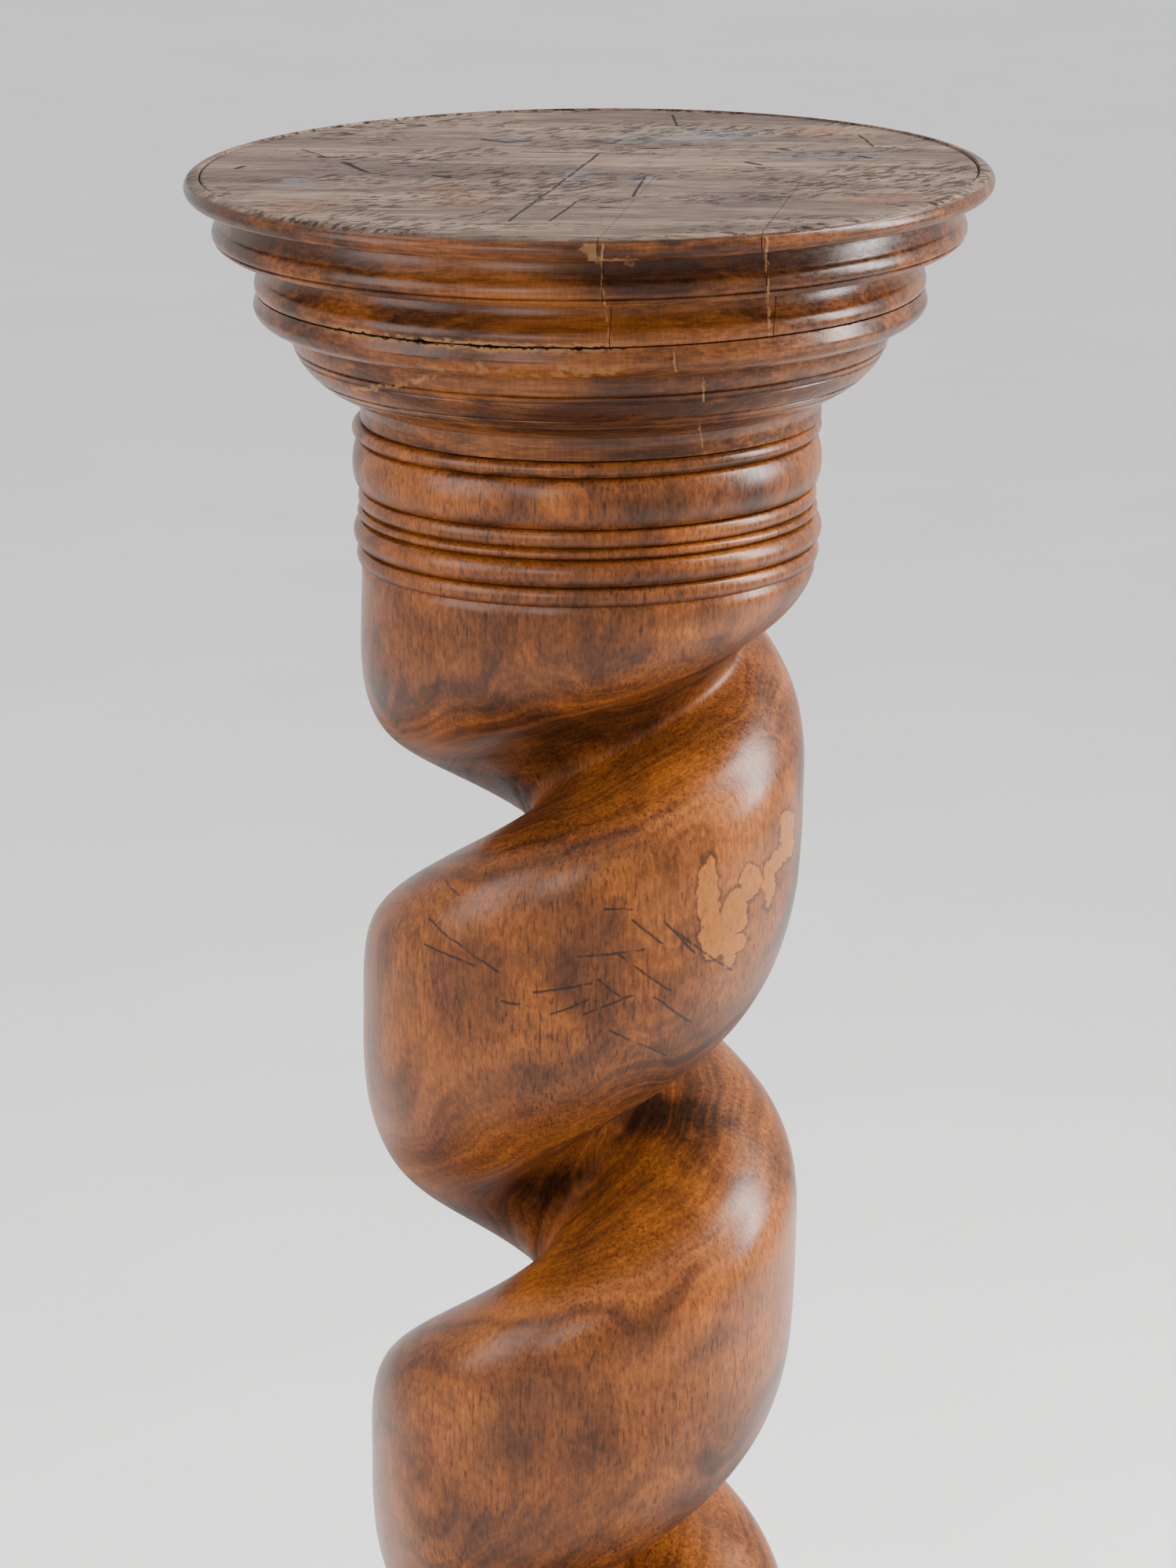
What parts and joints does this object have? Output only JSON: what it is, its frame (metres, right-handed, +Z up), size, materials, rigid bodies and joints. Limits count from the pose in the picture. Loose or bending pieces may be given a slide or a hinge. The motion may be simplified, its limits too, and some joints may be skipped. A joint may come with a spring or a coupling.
{
  "type": "carved wood pedestal",
  "caption": "Floor-standing wood pedestal with a turned round capital, a deeply carved spiral shaft and a round turned foot.",
  "frame": {"origin": "middle of the flat underside of the plinth, on the floor", "axes": "+Z up along the turned axis, -Y towards the front, with the let-in block at the front right (+X)"},
  "size_m": [0.38, 0.38, 1.1],
  "materials": {
    "top_board_wood": "worn dull top with waxed dark brown mouldings",
    "block_wood": "waxed dark brown",
    "bowl_wood": "waxed dark reddish brown",
    "shaft_wood": "waxed mottled orange brown",
    "base_wood": "waxed dark brown"
  },
  "bodies": {
    "root": {"capital_top": "top_board_wood", "let_in_block": "block_wood", "capital_bowl": "bowl_wood", "twisted_shaft": "shaft_wood", "base_moulding": "base_wood", "base_plinth": "base_wood"}
  },
  "joints": []
}
